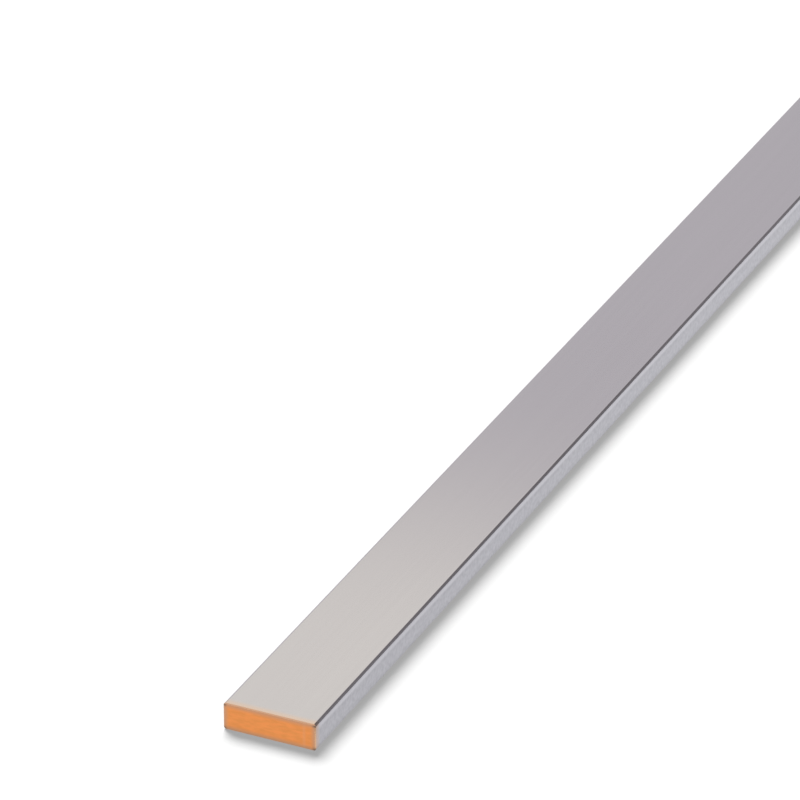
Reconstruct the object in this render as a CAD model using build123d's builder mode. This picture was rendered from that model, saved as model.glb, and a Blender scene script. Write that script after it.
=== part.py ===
"""Tinned copper busbar: flat stock of 10 x 3 mm section, one metre long, lying on a wide face.

The bar is drawn to its section, so its four long edges are slightly round. It is plated
with a few micrometres of tin, which add nothing that can be measured here, and is then
sawn to length, so both ends are flat, bare copper with their burr taken off.

Units are millimetres. X runs along the bar, Y across its width and Z up through its
thickness. The origin is at the middle of the underside.
"""

import os

from build123d import *

# Section of the drawn bar
bar_width = 10.0
bar_thickness = 3.0
edge_radius = 0.3

# Cut length, and the chamfer that takes the burr off each sawn end
bar_length = 1000.0
deburr_chamfer = 0.1

# Copper, for the weight that is printed below
copper_g_per_cm3 = 8.93


with BuildPart() as busbar:
    # The section stands on the ground plane at one end of the bar
    with BuildSketch(Plane.YZ.offset(-bar_length / 2)) as section:
        with Locations((0, bar_thickness / 2)):
            RectangleRounded(bar_width, bar_thickness, edge_radius)
    extrude(amount=bar_length)

    # Sawn ends
    sawn_ends = busbar.faces().filter_by(Axis.X)
    chamfer(sawn_ends.edges(), deburr_chamfer)

busbar.part.label = "busbar"

os.makedirs("parts", exist_ok=True)
export_step(busbar.part, "parts/busbar.step")

section_area = section.sketch.area
weight_kg = busbar.part.volume / 1000 * copper_g_per_cm3 / 1000
print(f"section {section_area:.3f} mm2, volume {busbar.part.volume:.1f} mm3, weight {weight_kg:.4f} kg")
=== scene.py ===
# %% [markdown]
# A tinned copper busbar. The real thing is a strip of copper, drawn through a die to a flat
# section, plated with a thin coat of tin and sawn off a longer length. A switchboard builder
# clamps it behind a row of terminals. It is one piece, so this lesson is about three things
# only: a clean section, two believable metals and light that shows them.
#
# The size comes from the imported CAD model, which is loaded first and stays as it is.

# %% Load the frame
import math

import bmesh
import bpy
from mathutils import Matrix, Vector, noise


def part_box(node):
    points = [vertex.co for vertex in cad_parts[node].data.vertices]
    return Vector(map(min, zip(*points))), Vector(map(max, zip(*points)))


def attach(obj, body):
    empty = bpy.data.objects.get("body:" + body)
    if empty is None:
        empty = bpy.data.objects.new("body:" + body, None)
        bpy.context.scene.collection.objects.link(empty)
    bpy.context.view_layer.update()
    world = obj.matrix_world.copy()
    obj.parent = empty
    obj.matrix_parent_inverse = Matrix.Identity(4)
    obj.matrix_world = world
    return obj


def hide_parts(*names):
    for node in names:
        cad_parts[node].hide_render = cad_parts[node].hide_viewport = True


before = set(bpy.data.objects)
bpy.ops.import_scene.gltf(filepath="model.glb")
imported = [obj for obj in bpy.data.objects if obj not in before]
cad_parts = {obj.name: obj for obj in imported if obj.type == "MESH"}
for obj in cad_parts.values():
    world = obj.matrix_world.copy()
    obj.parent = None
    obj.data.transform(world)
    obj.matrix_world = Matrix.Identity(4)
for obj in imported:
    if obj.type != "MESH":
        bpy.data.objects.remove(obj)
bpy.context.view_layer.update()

MM = 0.001
bar_low, bar_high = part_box("busbar")
bar_size = bar_high - bar_low
half_wide, half_thick = bar_size.y / 2, bar_size.z / 2
print("bar, in mm:", [round(side / MM, 2) for side in bar_size])

# %% [markdown]
# The camera. The photograph looks down along the bar from behind its cut end, with a long
# lens. Its place was found by fitting a pinhole camera to the bar's two long edges and to the
# outline of the cut end, so here it is only written down: how far it stands from the middle
# of the cut end's lower edge, and how far it turns and tips. A long focal length matters,
# because it is what keeps the two long edges so nearly parallel.

# %% Camera
PHOTO_PIXELS = 800
FOCAL_PIXELS = 6028.0
SENSOR_MM = 36.0
NEAREST_SEEN, FARTHEST_SEEN = 0.01, 100
cut_end = Vector((bar_low.x, 0, 0))
camera_offset = Vector((-448.04, -223.39, 307.47)) * MM
turn, tip = math.radians(25.047), math.radians(28.334)

looking = Vector((math.cos(tip) * math.cos(turn), math.cos(tip) * math.sin(turn), -math.sin(tip)))
camera_data = bpy.data.cameras.new("photo_camera")
camera_data.sensor_fit = "HORIZONTAL"
camera_data.sensor_width = SENSOR_MM
camera_data.lens = SENSOR_MM * FOCAL_PIXELS / PHOTO_PIXELS
camera_data.clip_start, camera_data.clip_end = NEAREST_SEEN, FARTHEST_SEEN
camera = bpy.data.objects.new("photo_camera", camera_data)
camera.location = cut_end + camera_offset
camera.rotation_mode = "QUATERNION"
camera.rotation_quaternion = looking.to_track_quat("-Z", "Y")
bpy.context.scene.collection.objects.link(camera)
bpy.context.scene.camera = camera
print("lens, in mm:", round(camera_data.lens, 1))

# %% [markdown]
# Node trees by hand are long, so two small classes write them. Tree adds any node in one
# call: its type, its settings, then what goes into its sockets. Wire is one output of a node
# that can be written in sums, so that 1 - mask is a Math node. Numbers alone never become
# nodes, and colours go through Mix and Vector Math, because a Math node would turn them grey.

# %% Shader maths
class Wire:
    """A number or a vector that changes over a surface, as one output of a node."""

    def __init__(self, tree, socket):
        self.tree = tree
        self.socket = socket

    def maths(self, operation, first, second=0):
        return self.tree.add("Math", {"operation": operation}, {0: first, 1: second})

    def __add__(self, other):
        return self.maths("ADD", self, other)

    def __sub__(self, other):
        return self.maths("SUBTRACT", self, other)

    def __rsub__(self, other):
        return self.maths("SUBTRACT", other, self)

    def __mul__(self, other):
        return self.maths("MULTIPLY", self, other)

    def __abs__(self):
        return self.maths("ABSOLUTE", self)

    def least(self, other):
        return self.maths("MINIMUM", self, other)

    __radd__ = __add__
    __rmul__ = __mul__

    def between(self, start, end, way="SMOOTHSTEP"):
        """0 below start and 1 past end, with a smooth step unless way says otherwise."""
        sockets = {"Value": self, "From Min": start, "From Max": end}
        return self.tree.add("MapRange", {"interpolation_type": way}, sockets)


class Tree:
    """The nodes of one material or of the world."""

    def __init__(self, owner):
        owner.use_nodes = True
        self.nodes = owner.node_tree.nodes
        self.links = owner.node_tree.links

    def add(self, kind, settings=None, sockets=None, output=0):
        node = self.nodes.new("ShaderNode" + kind)
        for name, setting in (settings or {}).items():
            setattr(node, name, setting)
        for name, value in (sockets or {}).items():
            self.feed(node.inputs[name], value)
        return Wire(self, node.outputs[output])

    def feed(self, socket, value):
        if isinstance(value, Wire):
            self.links.new(value.socket, socket)
        else:
            socket.default_value = value

    def part(self, place, axis):
        """One coordinate of a place."""
        return self.add("SeparateXYZ", sockets={"Vector": place}, output=axis)

    def mix(self, share, first, second):
        """A colour between two colours."""
        sockets = {"Factor": share, 6: first, 7: second}
        return self.add("Mix", {"data_type": "RGBA"}, sockets, output=2)


# %% [markdown]
# The sky. A plated bar shows little colour of its own: what is seen in it is the room. So
# the room comes first, as an even tent that shows the metal's own colour from every side. One
# narrow strip of the tent is unlit. It draws the thin dark line along the near top edge,
# because only the rounded edge is turned towards it. A long edge turns a mirrored ray round
# the X axis only, so all that it mirrors in one view lies at one angle from that axis, here
# 37 degrees. The strip is a band round that angle, on the right-hand side of the sky only,
# so that few other views meet it. The Standard view transform shows the colours as they are
# worked out, so they can be set against the photograph.

# %% Tent with an unlit strip
TENT_LIGHT = (0.80, 0.80, 0.80)
UNLIT_STRIP = (0.165, 0.155, 0.155)
# Degrees from the X axis: the strip begins, is fully dark, begins to end and has ended
STRIP_FROM_X = 27.5, 32.5, 42.0, 46.5
# How far a direction leans to the right where the strip begins and where it is fully dark
STRIP_LEANS = -0.095, 0.085

world = bpy.data.worlds.new("light_tent")
bpy.context.scene.world = world
bpy.context.scene.view_settings.view_transform = "Standard"
tent = Tree(world)
towards = tent.add("TexCoord", output="Generated")


def facing(middle):
    """Cosine of the angle between each place of the sky and one direction."""
    return tent.add("VectorMath", {"operation": "DOT_PRODUCT"}, {0: towards, 1: middle}, "Value")


nearest, near, far, farthest = [math.cos(math.radians(angle)) for angle in STRIP_FROM_X]
round_bar = facing((1, 0, 0))
in_band = round_bar.between(farthest, far) * (1 - round_bar.between(near, nearest))
in_strip = in_band * facing((0, -1, 0)).between(*STRIP_LEANS)
sky = tent.mix(in_strip, (*TENT_LIGHT, 1), (*UNLIT_STRIP, 1))
tent.feed(tent.nodes["Background"].inputs["Color"], sky)
print("nodes in the sky:", len(tent.nodes))

# %% [markdown]
# The studio's sheets. The floor and a light panel are both flat sheets between two corners.

# %% Sheets of the studio
def staged(name, low, high, height, material):
    """A flat sheet between two corners that isn't part of the bar."""
    bm = bmesh.new()
    bmesh.ops.create_grid(bm, x_segments=1, y_segments=1, size=0.5)
    bmesh.ops.scale(bm, verts=bm.verts, vec=(high.x - low.x, high.y - low.y, 1))
    bmesh.ops.translate(bm, verts=bm.verts, vec=(*((low + high) / 2), height))
    mesh = bpy.data.meshes.new(name)
    bm.to_mesh(mesh)
    bm.free()
    mesh.materials.append(material)
    sheet = bpy.data.objects.new(name, mesh)
    bpy.context.scene.collection.objects.link(sheet)
    print(name, "in m:", [round(side, 2) for side in high - low])
    return sheet


# %% [markdown]
# The floor is pale paper. In the photograph the bar's sides mirror a clean floor although a
# shadow lies on it, as when a shadow is added afterwards. So the paper has two looks, and a
# Light Path node chooses between them, which is simpler than two sets of lights. Where the
# camera sees it, it is matte. Its shade isn't white, because the key light is strong enough
# to turn it white, and so what is left in the shadow has the right depth. Where a metal
# mirrors it, it glows: pale, slightly paler with the distance from the cut end, with a narrow
# shade close to the bar. Some millimetres to the right it is unlit, which the lower half of
# the rounded edge mirrors, so that the dark line has its full width.

# %% Paper floor
PAPER = (0.49, 0.49, 0.49)
MIRRORED_NEAR, MIRRORED_FAR = (1.01, 1.01, 1.01), (1.14, 1.14, 1.14)
FAR_FROM_CUT = 0.11
MIRRORED_SHADE = (0.62, 0.62, 0.62)
SHADE_IN_FRONT, SHADE_BESIDE = 0.8 * MM, 0.7 * MM
UNLIT_PAPER = (0.17, 0.165, 0.17)
UNLIT_BEYOND = (2.6 * MM, 7.4 * MM)
FLOOR_REACH = 40.0
FLOOR_DROP = 0.01 * MM

paper = bpy.data.materials.new("white_paper")
paper_tree = Tree(paper)
matte = paper_tree.add("BsdfDiffuse", sockets={"Color": (*PAPER, 1)})
on_paper = paper_tree.add("TexCoord", output="Object")
paper_x = paper_tree.part(on_paper, "X")
paper_y = paper_tree.part(on_paper, "Y")
past_end = abs(paper_x).between(bar_high.x, bar_high.x + SHADE_IN_FRONT)
past_side = abs(paper_y).between(bar_high.y, bar_high.y + SHADE_BESIDE)
shade = (1 - past_end) * (1 - past_side)
unlit = (bar_low.y - paper_y).between(*UNLIT_BEYOND)
further = paper_x.between(bar_low.x, bar_low.x + FAR_FROM_CUT, "LINEAR")
in_mirror = paper_tree.mix(further, (*MIRRORED_NEAR, 1), (*MIRRORED_FAR, 1))
in_mirror = paper_tree.mix(shade, in_mirror, (*MIRRORED_SHADE, 1))
in_mirror = paper_tree.mix(unlit, in_mirror, (*UNLIT_PAPER, 1))
mirrored = paper_tree.add("Emission", sockets={"Color": in_mirror})
in_metal = paper_tree.add("LightPath", output="Is Glossy Ray")
seen = paper_tree.add("MixShader", sockets={0: in_metal, 1: matte, 2: mirrored})
paper_tree.feed(paper_tree.nodes["Material Output"].inputs["Surface"], seen)
paper.cycles.emission_sampling = "NONE"
reach = Vector((FLOOR_REACH, FLOOR_REACH))
staged("floor", -reach, reach, -FLOOR_DROP, paper)

# %% [markdown]
# The key light is a wide softbox behind the bar and to its left. Its direction is read from
# the shadow: so much of it in front of the cut end and so much to the right of the bar, for
# 3 mm of height. The edge of the shadow is as soft as the softbox is wide. A sun lamp with a
# large angle does the same at any distance, so the whole metre is lit alike.

# %% Key light
SHADOW_FRONT, SHADOW_RIGHT = 1.68 * MM, 1.42 * MM
KEY_ANGLE = math.radians(36)
KEY_STRENGTH = 5.39

key_from = Vector((SHADOW_FRONT, SHADOW_RIGHT, bar_size.z)).normalized()
key_data = bpy.data.lights.new("key_softbox", "SUN")
key_data.angle = KEY_ANGLE
key_data.energy = KEY_STRENGTH
key = bpy.data.objects.new("key_softbox", key_data)
key.visible_glossy = False
key.rotation_mode = "QUATERNION"
key.rotation_quaternion = (-key_from).to_track_quat("-Z", "Y")
bpy.context.scene.collection.objects.link(key)
print("key light's elevation:", round(math.degrees(math.asin(key_from.z)), 1))

# %% [markdown]
# The top face is palest and warmest at the cut end and fades to mauve within 65 mm. That is
# a low panel, 10 cm up and a little way along the bar, which the tin mirrors and whose light
# dies away along X. An area lamp has a hard edge, so the panel is a sheet whose glow follows
# a ramp, and it lets everything through. Only mirror rays see it, so it lights nothing else,
# and it hangs to the left of the bar, so that no camera right above finds it in the tin.

# %% Fading panel above the bar
PANEL_HEIGHT = 0.10
PANEL_LOW, PANEL_HIGH = Vector((-0.41, 0.011)), Vector((-0.280, 0.10))
PANEL_FULL_X = -0.323
PANEL_LIGHT = (0.423, 0.432, 0.298)
DARK = (0, 0, 0)

glow = bpy.data.materials.new("fading_panel")
glow_tree = Tree(glow)
panel_x = glow_tree.part(glow_tree.add("TexCoord", output="Object"), "X")
faded = panel_x.between(PANEL_FULL_X, PANEL_HIGH.x, "LINEAR")
light_there = glow_tree.mix(faded, (*PANEL_LIGHT, 1), (*DARK, 1))
light = glow_tree.add("Emission", sockets={"Color": light_there})
clear = glow_tree.add("BsdfTransparent")
both = glow_tree.add("AddShader", sockets={0: light, 1: clear})
glow_tree.feed(glow_tree.nodes["Material Output"].inputs["Surface"], both)
glow.cycles.emission_sampling = "NONE"
panel = staged("fading_panel", PANEL_LOW, PANEL_HIGH, PANEL_HEIGHT, glow)
panel.visible_camera = False
panel.visible_diffuse = False
panel.visible_shadow = False

# %% [markdown]
# The drawn section. A die gives a flat bar four slightly round edges, all the way along. A
# cube is scaled to the CAD box and its four long edges are bevelled, which is one operation
# and keeps the wide faces exactly flat. An extruded outline would give the same bar with
# more steps.

# %% Drawn section
EDGE_RADIUS = 0.3 * MM
EDGE_SEGMENTS = 10
MOST = 0.9

bm = bmesh.new()
bmesh.ops.create_cube(bm, size=1)
bmesh.ops.scale(bm, vec=bar_size, verts=bm.verts)
bmesh.ops.translate(bm, vec=(bar_low + bar_high) / 2, verts=bm.verts)
long_edges = [e for e in bm.edges if e.calc_length() > MOST * bar_size.x]
bmesh.ops.bevel(bm, geom=long_edges, affect="EDGES", offset=EDGE_RADIUS, offset_type="OFFSET",
                segments=EDGE_SEGMENTS, profile=0.5, material=-1)
print("faces round the section:", len(bm.faces) - 2)

# %% [markdown]
# The sawn ends. After the cut, a file takes the burr off, which leaves a narrow bevel round
# the end. Each end face is inset by that width. The face keeps its own points, so the points
# of the ring that aren't the face's lie on the outside, and they are pushed back along the
# bar by the same amount. That slopes the bevel at 45 degrees.

# %% Deburred ends
DEBURR = 0.1 * MM
# The bar's first material is its tin, number 0, and the second is bare copper
SAWN = 1

end_faces = [f for f in bm.faces if abs(f.normal.x) > MOST]
for face in end_faces:
    into_bar = -face.normal * DEBURR
    bevel_ring = bmesh.ops.inset_region(bm, faces=[face], thickness=DEBURR, use_even_offset=True)
    on_ring = {v for side in bevel_ring["faces"] for v in side.verts}
    outside = [v for v in on_ring if v not in face.verts[:]]
    bmesh.ops.translate(bm, vec=into_bar, verts=outside)
    face.material_index = SAWN
    for side in bevel_ring["faces"]:
        side.material_index = SAWN
ends_apart = abs(end_faces[0].verts[0].co.x - end_faces[1].verts[0].co.x)
print("from one flat end to the other, in mm:", round(ends_apart / MM, 3))

# %% [markdown]
# Cuts along the bar. Long slivers of faces shade and bake badly, so the bar is cut across
# into equal lengths. The cuts also let the texture map fold the bar into rows later on.

# %% Cuts along the bar
ROWS = 4
CUTS_PER_ROW = 10
lengths = ROWS * CUTS_PER_ROW


def cut(bm, geometry, point, normal):
    """Cuts the given faces along a plane and keeps both halves."""
    bmesh.ops.bisect_plane(bm, geom=geometry, plane_co=point, plane_no=normal)


for i in range(1, lengths):
    x = bar_low.x + bar_size.x * i / lengths
    cut(bm, bm.verts[:] + bm.edges[:] + bm.faces[:], (x, 0, 0), (1, 0, 0))
print("faces:", len(bm.faces))

# %% [markdown]
# A grid on each end. The saw's marks are real relief here and not only a bump in the
# material, so the flat end faces need points. The same cutting operator makes them: rows
# close together up the end, because the scores run across it, and fewer columns.

# %% Grid on the ends
GRID_ACROSS, GRID_ALONG = 0.05 * MM, 0.25 * MM
FLAT_WITHIN = 0.1 * DEBURR


def grid_lines(low, high, step):
    """Places of evenly spaced cuts between two sides."""
    count = round((high - low) / step)
    return [low + (high - low) * i / count for i in range(1, count)]


def flat_end(bm, end_x):
    """The flat faces of one end."""
    return [f for f in bm.faces if all(abs(v.co.x - end_x) < FLAT_WITHIN for v in f.verts)]


def with_edges_and_points(faces):
    """Faces together with their edges and points, as bisect_plane wants them."""
    edges = {e for f in faces for e in f.edges}
    points = {v for f in faces for v in f.verts}
    return list(points) + list(edges) + faces


for end_x in (bar_low.x, bar_high.x):
    for z in grid_lines(bar_low.z + DEBURR, bar_high.z - DEBURR, GRID_ACROSS):
        cut(bm, with_edges_and_points(flat_end(bm, end_x)), (0, 0, z), (0, 0, 1))
    for y in grid_lines(bar_low.y + DEBURR, bar_high.y - DEBURR, GRID_ALONG):
        cut(bm, with_edges_and_points(flat_end(bm, end_x)), (0, y, 0), (0, 1, 0))
    print("faces on one end:", len(flat_end(bm, end_x)))

# %% [markdown]
# Saw marks. A saw leaves shallow scores across the end, all curved alike because they follow
# the blade's rim. The grid's points are pushed into the bar by a few thousandths of a
# millimetre. Noise along one coordinate, the distance from the blade's axle, gives scores of
# uneven depth and spacing. They run out at the rim, because the bevel shares its points and
# has to stay flat.

# %% Saw marks
BLADE_RADIUS = 60 * MM
AXLE_ASIDE = 12 * MM
# Pitch and greatest depth of the coarse scores and of the fine ones
SCORES = ((0.45 * MM, 0.006 * MM), (0.16 * MM, 0.003 * MM))
SCORE_DRIFT = 3 * MM
WAVE_GAIN = 1.6
FULL_DEPTH_FROM_RIM = 0.2 * MM


def score_depth(y, z, seed):
    """How far the saw has cut into the end at a point of it."""
    from_axle = math.hypot(y - AXLE_ASIDE, z + BLADE_RADIUS)
    depth = 0.0
    for pitch, deepest in SCORES:
        wave = noise.noise((from_axle / pitch, y / SCORE_DRIFT, seed))
        depth += deepest * (0.5 + 0.5 * max(-1, min(1, WAVE_GAIN * wave)))
    from_rim = min(half_wide - abs(y), half_thick - abs(z - half_thick)) - DEBURR
    return depth * min(1, from_rim / FULL_DEPTH_FROM_RIM)


for seed, end_x in ((0.5, bar_low.x), (1.5, bar_high.x)):
    inward = 1 if end_x < 0 else -1
    scored = {v for f in flat_end(bm, end_x) for v in f.verts}
    for v in scored:
        v.co.x += inward * score_depth(v.co.y, v.co.z, seed)
    print("points pushed in by the saw:", len(scored))

# %% [markdown]
# From bmesh to object. The shell is shaded smooth, apart from the edges where two flat cuts
# meet, and weighted normals keep the wide faces flat right up to the rounded edges. The
# floor's own bounce light doesn't see the bar, because bare copper would tint the shadow in
# front of it orange, and in the photograph it is grey.

# %% Make the piece
SHARP = math.radians(30)
FAVOUR_LARGE_FACES = 90

for edge in bm.edges:
    edge.smooth = not (edge.is_manifold and edge.calc_face_angle() > SHARP)
for face in bm.faces:
    face.smooth = True
bmesh.ops.recalc_face_normals(bm, faces=bm.faces)
bar_mesh = bpy.data.meshes.new("tinned_busbar")
bm.to_mesh(bar_mesh)
bm.free()

busbar = bpy.data.objects.new("tinned_busbar", bar_mesh)
busbar.visible_diffuse = False
bpy.context.scene.collection.objects.link(busbar)
keep_flat = busbar.modifiers.new("keep_flat", "WEIGHTED_NORMAL")
keep_flat.keep_sharp = True
keep_flat.weight = FAVOUR_LARGE_FACES
print("triangles:", sum(len(p.vertices) - 2 for p in bar_mesh.polygons))

# %% [markdown]
# The texture map, first half. A metre of bar on one square image would have one pixel for a
# millimetre. So the map folds the bar into rows, one under the other. How high a point lies
# in its row is the way walked round the section to it. That is read off the mesh: the points
# of one cut, in order round the middle, and the distance between them, added up.

# %% Walk round the section
ROUNDED_TO = 6


def in_section(point):
    """A point's place in the section, rounded so that it can be looked up."""
    return round(point.y, ROUNDED_TO), round(point.z, ROUNDED_TO)


cut_x = bar_low.x + bar_size.x / lengths
section = {in_section(v.co) for v in bar_mesh.vertices if abs(v.co.x - cut_x) < DEBURR}
section = sorted(section, key=lambda p: math.atan2(p[1] - half_thick, p[0]))
walked = {}
way_round = 0.0
for i, point in enumerate(section):
    walked[point] = way_round
    way_round += math.dist(point, section[(i + 1) % len(section)])
print("way round the section, in mm:", round(way_round / MM, 2))

# %% [markdown]
# The texture map, second half. The rows fill most of the image, and a strip above them holds
# the two sawn ends side by side at a larger scale. The walk round the section starts and
# ends in the middle of the right narrow face, so there the lower points, which come first in
# the walk, are counted after the last one. Otherwise that face would be smeared over a whole
# row.

# %% Fold the bar into rows of the map
MARGIN = 0.006
ENDS_HEIGHT = 0.17
FIRST_END_AT, SECOND_END_AT = 0.25, 0.75
row_height = (1 - ENDS_HEIGHT) / ROWS
end_scale = (0.5 - 2 * MARGIN) / bar_size.y


def place_on_row(point, middle):
    """Where a point of a long face lies on the map. middle is the face's own middle."""
    row = min(ROWS - 1, int((middle.x - bar_low.x) / bar_size.x * ROWS))
    along_row = (point.x - bar_low.x) / bar_size.x * ROWS - row
    around = walked[in_section(point)]
    on_right = middle.y < 0 and abs(middle.z - half_thick) < half_thick / 2
    if on_right and around < way_round / 4:
        around += way_round
    up_row = MARGIN + (row_height - 2 * MARGIN) * around / way_round
    return MARGIN + (1 - 2 * MARGIN) * along_row, row * row_height + up_row


def place_on_end(point, middle):
    """Where a point of a sawn end lies on the map."""
    end_at = FIRST_END_AT if middle.x < 0 else SECOND_END_AT
    up_strip = 1 - ENDS_HEIGHT / 2 + (point.z - half_thick) * end_scale
    return end_at + point.y * end_scale, up_strip


uv = bar_mesh.uv_layers.new(name="OFBake")
for polygon in bar_mesh.polygons:
    place = place_on_end if polygon.material_index == SAWN else place_on_row
    for corner in polygon.loop_indices:
        point = bar_mesh.vertices[bar_mesh.loops[corner].vertex_index].co
        uv.data[corner].uv = place(point, polygon.center)
spread = [min(d.uv.x for d in uv.data), max(d.uv.x for d in uv.data),
          min(d.uv.y for d in uv.data), max(d.uv.y for d in uv.data)]
print("map's extent:", [round(place, 3) for place in spread])

# %% [markdown]
# Where the tin differs. Two metal materials could be mixed for the different faces, but one
# Principled shader is enough, with masks: each is 1 where something holds and 0 elsewhere.
# The narrow faces rub on the guides of every machine the bar goes through, so they are
# duller than the wide ones. Below the upper edge they carry a brighter border, a painted
# highlight where the rounded edge catches the light. Close to each cut the saw has dragged
# a little copper over the tin.

# %% Masks on the tin
# How far in from the side the metal starts to count as a narrow face, and counts fully
NARROW_STARTS, NARROW_FULL = 0.025 * MM, 0.001 * MM
# How far below the top the painted highlight ends and is full, and the same in from the side
BORDER_ENDS, BORDER_FULL = 1.0 * MM, 0.5 * MM
BORDER_CURVE_STARTS, BORDER_CURVE_FULL = 0.15 * MM, 0.08 * MM
DRAGGED_TO = 1.1 * MM

tinned = bpy.data.materials.new("bright_tin")
tin = Tree(tinned)
on_bar = tin.add("TexCoord", output="Object")
tin_x = abs(tin.part(on_bar, "X"))
tin_y = abs(tin.part(on_bar, "Y"))
tin_z = tin.part(on_bar, "Z")
narrow = tin_y.between(half_wide - NARROW_STARTS, half_wide - NARROW_FULL)
beside_top = tin_z.between(bar_high.z - BORDER_ENDS, bar_high.z - BORDER_FULL)
on_curve = tin_y.between(half_wide - BORDER_CURVE_STARTS, half_wide - BORDER_CURVE_FULL)
# Painted highlight: the upper border of the narrow faces, where the rounded edge catches light
painted_highlight = beside_top * on_curve
dragged = tin_x.between(bar_high.x - DRAGGED_TO, bar_high.x - DEBURR)
print("nodes for the tin's masks:", len(tin.nodes))

# %% [markdown]
# Tin. The coat is pale, cool and a little cloudy, and the die's draw marks still show in it
# as faint lines along the bar. Both are noise: a Mapping node stretches it four times along
# X for the clouds and a hundred times for the lines. The narrow faces are finely speckled
# in place of that.

# %% Colours of the tin
TIN, TIN_SHADED = (0.523, 0.492, 0.53), (0.463, 0.432, 0.47)
NARROW_TIN, NARROW_TIN_SHADED = (0.522, 0.518, 0.557), (0.446, 0.443, 0.481)
# Colour of the painted highlight below the upper edge of the narrow faces
HIGHLIGHT_TIN = (0.68, 0.67, 0.718)
COPPERY_TIN = (0.60, 0.452, 0.39)
CLOUD_WAVES, LINE_WAVES, SPECKLE_WAVES = 60, 2500, 2200
CLOUD_SHARE, LINE_SHARE, HIGHLIGHT_SHARE = 0.6, 0.4, 0.8
# Noise seldom leaves its middle values, so what lies between these two is spread over 0 to 1
CONTRAST = 0.3, 0.7


def pattern(tree, place, waves, shares=(1, 1, 1), detail=2):
    """Noise from 0 to 1, of so many waves a metre times a share along each axis."""
    stretched = tree.add("Mapping", sockets={"Vector": place, "Scale": shares})
    return tree.add("TexNoise", sockets={"Vector": stretched, "Scale": waves, "Detail": detail})


clouds = pattern(tin, on_bar, CLOUD_WAVES, (0.25, 1, 1))
draw_lines = pattern(tin, on_bar, LINE_WAVES, (0.01, 1, 1), detail=3)
speckle = pattern(tin, on_bar, SPECKLE_WAVES).between(*CONTRAST)
cloudy = CLOUD_SHARE * clouds + LINE_SHARE * draw_lines
wide_tin = tin.mix(cloudy, (*TIN_SHADED, 1), (*TIN, 1))
narrow_tin = tin.mix(speckle, (*NARROW_TIN_SHADED, 1), (*NARROW_TIN, 1))
colour = tin.mix(narrow, wide_tin, narrow_tin)
# The painted highlight along the upper border of the narrow faces
colour = tin.mix(HIGHLIGHT_SHARE * painted_highlight, colour, (*HIGHLIGHT_TIN, 1))
colour = tin.mix(dragged, colour, (*COPPERY_TIN, 1))
print("nodes for the tin's colour:", len(tin.nodes))

# %% [markdown]
# The tin's gloss. It makes the bar look like metal more than its colour does. The wide faces
# are nearly mirrors, slightly uneven with the clouds, and the narrow ones are satin. The
# draw lines also feed a faint Bump, because they are too fine for the mesh.

# %% Gloss of the tin
WIDE_ROUGHNESS, NARROW_ROUGHNESS = 0.17, 0.45
CLOUDS_ADD = 0.03
LINE_STRENGTH, LINE_DEPTH = 0.05, 0.01 * MM

tin_shader = tin.nodes["Principled BSDF"]
tin_shader.inputs["Metallic"].default_value = 1
tin.feed(tin_shader.inputs["Base Color"], colour)
wide_roughness = WIDE_ROUGHNESS - CLOUDS_ADD + 2 * CLOUDS_ADD * clouds
roughness = wide_roughness + (NARROW_ROUGHNESS - WIDE_ROUGHNESS) * narrow
tin.feed(tin_shader.inputs["Roughness"], roughness)
lines = {"Strength": LINE_STRENGTH, "Distance": LINE_DEPTH, "Height": draw_lines}
tin.feed(tin_shader.inputs["Normal"], tin.add("Bump", sockets=lines))
print("nodes in the tin:", len(tin.nodes))

# %% [markdown]
# Where the copper differs. The sawn end has a bevel all round, browner and darker metal
# towards its outline, and darker corners. Along the top bevel a pale line is a painted
# highlight, where the top edge catches the light, and one faint upright scratch crosses the
# scores. Two distances give almost all of these masks: from the nearer narrow face and from
# the nearer wide one.

# %% Masks on the copper
BEVEL_BLUR = 0.1 * DEBURR
# How far below the top the painted highlight on the bevel ends and is full
TOP_HIGHLIGHT_ENDS, TOP_HIGHLIGHT_FULL = 1.6 * DEBURR, 1.2 * DEBURR
OUTLINE_REACH = 0.7 * MM
CORNER_FULL, CORNER_REACH = 0.15 * MM, 0.5 * MM
SCRATCH_Y, SCRATCH_WIDTH = -3.75 * MM, 0.25 * MM

sawn = bpy.data.materials.new("sawn_copper")
copper = Tree(sawn)
on_end = copper.add("TexCoord", output="Object")
end_y = copper.part(on_end, "Y")
end_z = copper.part(on_end, "Z")
from_side = half_wide - abs(end_y)
from_wide = half_thick - abs(end_z - half_thick)
from_outline = from_side.least(from_wide)

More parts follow.
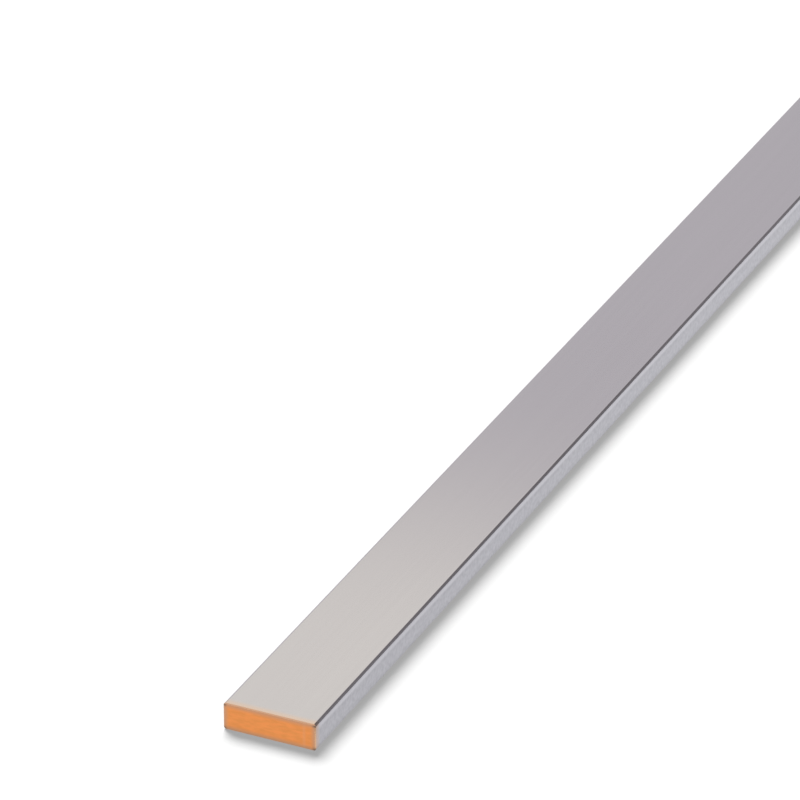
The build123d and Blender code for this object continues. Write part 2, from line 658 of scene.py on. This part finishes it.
on_bevel = 1 - from_outline.between(DEBURR - BEVEL_BLUR, DEBURR + BEVEL_BLUR)
on_top = end_z.between(bar_high.z - TOP_HIGHLIGHT_ENDS, bar_high.z - TOP_HIGHLIGHT_FULL)
near_outline = 1 - from_outline.between(0, OUTLINE_REACH)
beside_corner = 1 - from_side.between(CORNER_FULL, CORNER_REACH)
in_corner = beside_corner * (1 - from_wide.between(CORNER_FULL, CORNER_REACH))
scratch = 1 - abs(end_y - SCRATCH_Y).between(0, SCRATCH_WIDTH)
print("nodes for the copper's masks:", len(copper.nodes))

# %% [markdown]
# Sawn copper. Freshly cut copper is a warm orange. The saw marks are already in the mesh, so
# the material adds only an uneven tone, drawn out across the end as the scores are, and then
# one colour for each mask, the later ones over the earlier ones. The bevel was filed and not
# sawn, so it is smoother.

# %% Colours and gloss of the copper
COPPER, COPPER_DARK = (0.91, 0.376, 0.118), (0.795, 0.313, 0.093)
OUTLINE_BROWN = (0.565, 0.35, 0.235)
BEVEL_BROWN = (0.67, 0.41, 0.25)
CORNER_BROWN = (0.32, 0.20, 0.14)
# Pale colour of the scratch, and of the painted highlight along the top bevel
PALE_SCRATCH_AND_HIGHLIGHT = (0.78, 0.455, 0.285)
TONE_WAVES = 3000
SCRATCH_SHARE, OUTLINE_SHARE = 0.2, 0.8
COPPER_ROUGHNESS, TONE_ADDS, BEVEL_TAKES = 0.55, 0.1, 0.3

uneven = pattern(copper, on_end, TONE_WAVES, (1, 0.25, 1)).between(*CONTRAST)
tone = copper.mix(uneven, (*COPPER_DARK, 1), (*COPPER, 1))
tone = copper.mix(SCRATCH_SHARE * scratch, tone, (*PALE_SCRATCH_AND_HIGHLIGHT, 1))
# Browner and darker towards the outline of the end
tone = copper.mix(OUTLINE_SHARE * near_outline, tone, (*OUTLINE_BROWN, 1))
tone = copper.mix(on_bevel, tone, (*BEVEL_BROWN, 1))
tone = copper.mix(in_corner, tone, (*CORNER_BROWN, 1))
# Painted highlight: a pale line along the top bevel, where the top edge catches the light
tone = copper.mix(on_bevel * on_top, tone, (*PALE_SCRATCH_AND_HIGHLIGHT, 1))

copper_shader = copper.nodes["Principled BSDF"]
copper_shader.inputs["Metallic"].default_value = 1
copper.feed(copper_shader.inputs["Base Color"], tone)
rough = COPPER_ROUGHNESS + TONE_ADDS * uneven - BEVEL_TAKES * on_bevel
copper.feed(copper_shader.inputs["Roughness"], rough)
print("nodes in the copper:", len(copper.nodes))

# %% [markdown]
# The finished piece gets its tin and copper materials, rides on the only body and stands
# for the CAD node, which is hidden.

# %% Tie the piece to the frame
bar_mesh.materials.append(tinned)
bar_mesh.materials.append(sawn)
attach(busbar, "root")
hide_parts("busbar")
